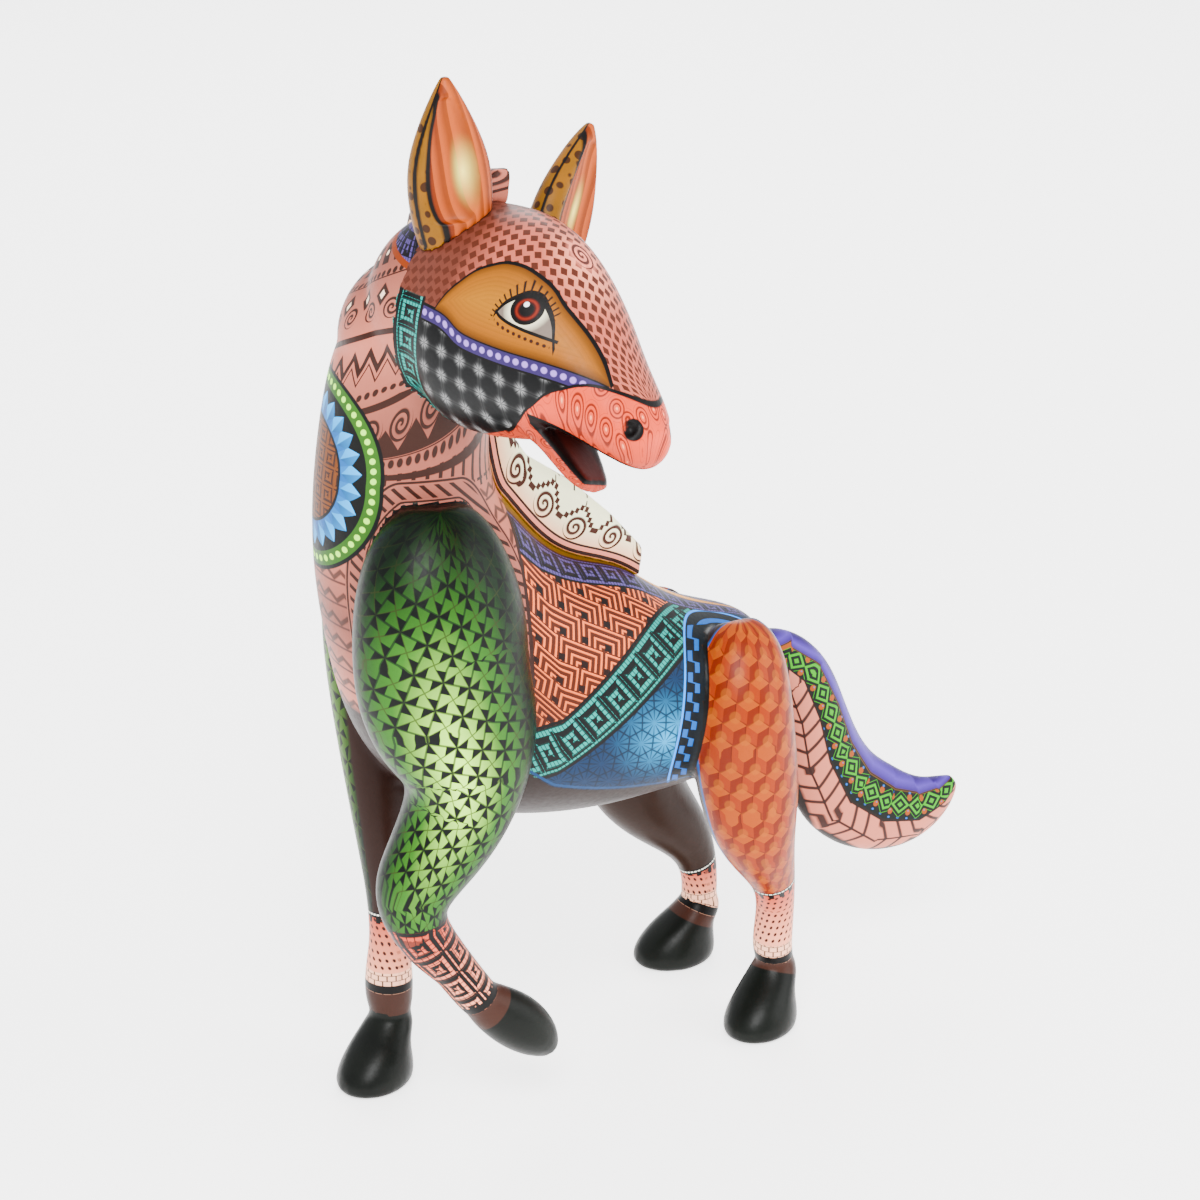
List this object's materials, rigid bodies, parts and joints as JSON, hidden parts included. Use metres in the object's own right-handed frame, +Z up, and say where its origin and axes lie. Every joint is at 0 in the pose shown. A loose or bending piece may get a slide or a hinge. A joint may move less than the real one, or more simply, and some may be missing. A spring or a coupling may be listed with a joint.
{
  "type": "painted wooden horse figure",
  "caption": "Carved and painted wooden horse looking back over its shoulder with one forefoot raised; the two ears and the tail pull off on pegs.",
  "frame": {"origin": "on the floor, under the middle of the figure's bounding box", "axes": "the horse's body faces -X, its left side is -Y and +Z is up; the head is turned towards -Y"},
  "size_m": [0.1934, 0.123, 0.2744],
  "materials": {
    "trunk_paint": "hand-painted, satin",
    "head_paint": "hand-painted, satin",
    "mane_paint": "hand-painted, satin",
    "leg_paint": "hand-painted, satin",
    "thigh_paint": "hand-painted, satin",
    "ear_paint": "hand-painted, satin",
    "tail_paint": "hand-painted, satin",
    "bare_wood": "bare"
  },
  "bodies": {
    "figure": {"body_block": "trunk_paint", "head_block": "head_paint", "mane": "mane_paint", "front_left_leg": "leg_paint", "front_right_leg": "leg_paint", "rear_left_leg": "thigh_paint", "rear_right_leg": "thigh_paint", "neck_dowels": "bare_wood", "front_left_leg_dowels": "bare_wood", "front_right_leg_dowels": "bare_wood", "rear_left_leg_dowels": "bare_wood", "rear_right_leg_dowels": "bare_wood", "mane_pegs": "bare_wood"},
    "right_ear": {"right_ear": "ear_paint", "right_ear_peg": "bare_wood"},
    "left_ear": {"left_ear": "ear_paint", "left_ear_peg": "bare_wood"},
    "tail": {"tail": "tail_paint", "tail_peg": "bare_wood"}
  },
  "joints": [
    {"name": "right_ear_pull", "type": "slide", "parent": "figure", "child": "right_ear", "axis": [-0.0415, -0.0112, 0.9991], "range_m": [0, 0.013]},
    {"name": "left_ear_pull", "type": "slide", "parent": "figure", "child": "left_ear", "axis": [0.4902, 0.2919, 0.8213], "range_m": [0, 0.012]},
    {"name": "tail_pull", "type": "slide", "parent": "figure", "child": "tail", "axis": [0.9781, 0, 0.2079], "range_m": [0, 0.016]}
  ]
}
